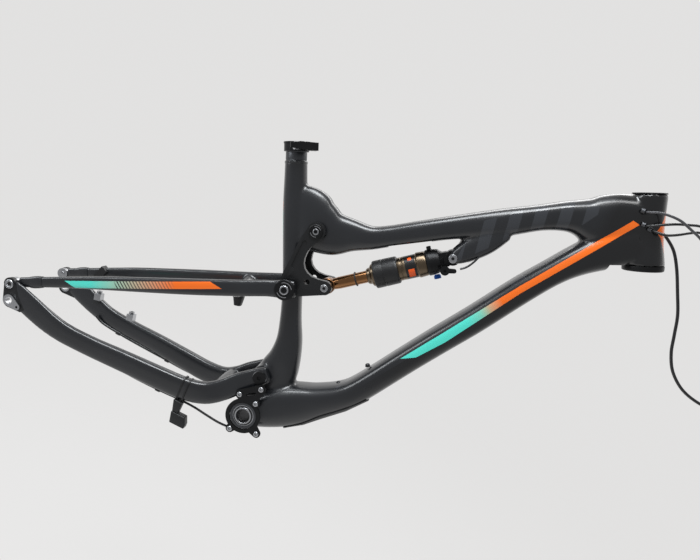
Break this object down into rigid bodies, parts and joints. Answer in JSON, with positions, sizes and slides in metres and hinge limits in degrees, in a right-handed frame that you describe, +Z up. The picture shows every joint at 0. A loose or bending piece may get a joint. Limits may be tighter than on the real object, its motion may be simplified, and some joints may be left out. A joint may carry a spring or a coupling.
{
  "type": "full-suspension bicycle frame",
  "caption": "Full-suspension mountain bicycle frame with swingarm, seatstays, rocker link, air shock, open bottom bracket and hanging control housings.",
  "frame": {"origin": "centre of the bottom bracket shell, on its axis and in the mid-plane", "axes": "+X forward, +Y to the rider's left, +Z up, as ridden"},
  "size_m": [1.1844, 0.163, 0.6686],
  "materials": {
    "carbon": "satin lacquered carbon with painted stripes",
    "black_metal": "black anodised aluminium",
    "silver_metal": "machined aluminium",
    "grey_metal": "grey anodised",
    "steel": "brushed",
    "bearing_steel": "ground",
    "rubber": "matt",
    "black_plastic": "matt",
    "bronze_shaft": "bronze anodised, polished",
    "champagne_can": "champagne anodised, satin",
    "blue_metal": "blue anodised",
    "black_housing": "smooth sheath",
    "grey_housing": "smooth sheath",
    "ferrule_metal": "crimped"
  },
  "bodies": {
    "frame": {"head_tube": "carbon", "top_tube": "carbon", "down_tube": "carbon", "seat_tube": "carbon", "bb_shell": "carbon", "shock_bracket": "carbon", "seat_tube_sleeve": "silver_metal", "seat_clamp_collar": "black_metal", "seat_clamp_skewer": "steel", "headset_cups": "black_metal", "bb_shell_sleeve": "silver_metal", "bb_cups": "grey_metal", "bb_bearing_outer_rings": "bearing_steel", "guide_mount_plate": "black_metal", "frame_small_bolts": "steel", "downtube_guard": "rubber", "cable_ports": "grey_metal", "main_pivot_axle": "silver_metal", "main_pivot_bolts": "black_metal", "rocker_pivot_bearings": "bearing_steel", "shock_front_bolt": "steel", "shock_cable": "black_housing", "gear_housing_frame": "black_housing", "gear_housing_front": "grey_housing", "front_gear_housing": "black_housing", "remote_housing": "black_housing", "brake_hose_front": "black_housing", "hose_end_fittings": "ferrule_metal"},
    "clamp_lever": {"seat_clamp_lever": "black_metal"},
    "bottom_bracket_rings": {"bb_bearing_inner_rings": "bearing_steel"},
    "swingarm": {"chainstays": "carbon", "swingarm_yoke": "carbon", "dropout_plates": "black_metal", "derailleur_hanger": "silver_metal", "axle_nut_insert": "silver_metal", "brake_mount": "silver_metal", "brake_mount_bolts": "steel", "dropout_pivot_bolts": "steel", "stay_cable_clips": "black_plastic", "wheel_sensor": "black_plastic", "main_pivot_bearings": "bearing_steel", "rear_brake_hose": "black_housing", "gear_housing_stay": "black_housing"},
    "seatstay_assembly": {"seatstays": "carbon", "seatstay_tips": "silver_metal", "seatstay_bridge": "carbon", "bridge_bumper": "rubber", "seatstay_hose_clamp": "black_plastic", "rocker_stay_bolts": "steel"},
    "rocker": {"rocker_link": "black_metal", "rocker_pivot_axle": "silver_metal", "rocker_pivot_caps": "black_metal", "shock_rear_bolt": "steel"},
    "shock_body": {"shock_can": "champagne_can", "shock_sleeve": "black_plastic", "shock_head": "black_metal"},
    "shock_piston": {"shock_shaft": "bronze_shaft"},
    "travel_marker": {"shock_travel_ring": "rubber"},
    "rebound_knob": {"shock_rebound_knob": "blue_metal"},
    "lockout_lever": {"shock_lockout_lever": "black_metal"}
  },
  "joints": [
    {"name": "swingarm_pivot", "type": "hinge", "parent": "frame", "child": "swingarm", "pos_m": [-0.001, 0, 0.07], "axis": [0, 1, 0], "range_deg": [0, 19.5], "stiffness_Nm_per_rad": 300},
    {"name": "seatstay_pivot", "type": "hinge", "parent": "swingarm", "child": "seatstay_assembly", "pos_m": [-0.445, 0, 0.042], "axis": [0, 1, 0], "range_deg": [-1, 0]},
    {"name": "rocker_pivot", "type": "hinge", "parent": "frame", "child": "rocker", "pos_m": [-0.012, 0, 0.333], "axis": [0, 1, 0], "range_deg": [-28.8, 0]},
    {"name": "shock_eye", "type": "hinge", "parent": "frame", "child": "shock_body", "pos_m": [0.203, 0, 0.384], "axis": [0, 1, 0], "range_deg": [0, 1.4]},
    {"name": "shock_stroke", "type": "slide", "parent": "shock_body", "child": "shock_piston", "axis": [0.7896, 0, 0.6136], "range_m": [0, 0.0457]},
    {"name": "travel_marker_slide", "type": "slide", "parent": "shock_piston", "child": "travel_marker", "axis": [0.7896, 0, 0.6136], "range_m": [-0.0272, 0]},
    {"name": "bottom_bracket_spin", "type": "hinge", "parent": "frame", "child": "bottom_bracket_rings", "pos_m": [0, 0, 0], "axis": [0, 1, 0], "continuous": true},
    {"name": "rebound_turn", "type": "hinge", "parent": "shock_body", "child": "rebound_knob", "pos_m": [0.19386, 0, 0.3465], "axis": [0.6136, 0, -0.7896], "range_deg": [0, 270]},
    {"name": "lockout_turn", "type": "hinge", "parent": "shock_body", "child": "lockout_lever", "pos_m": [0.2, -0.0219, 0.36141], "axis": [0, 1, 0], "range_deg": [0, 60]},
    {"name": "clamp_lever_turn", "type": "hinge", "parent": "frame", "child": "clamp_lever", "pos_m": [-0.0747, -0.00971, 0.45276], "axis": [-0.3703, 0, 0.9289], "range_deg": [0, 120]}
  ],
  "couplings": [
    {"joint": "seatstay_pivot", "follows": "swingarm_pivot", "ratio": -0.0503},
    {"joint": "rocker_pivot", "follows": "swingarm_pivot", "ratio": -1.4754},
    {"joint": "shock_eye", "follows": "swingarm_pivot", "ratio": 0.0713},
    {"joint": "shock_stroke", "follows": "swingarm_pivot", "m_per_rad": 0.13404},
    {"joint": "travel_marker_slide", "follows": "swingarm_pivot", "m_per_rad": -0.07975}
  ]
}
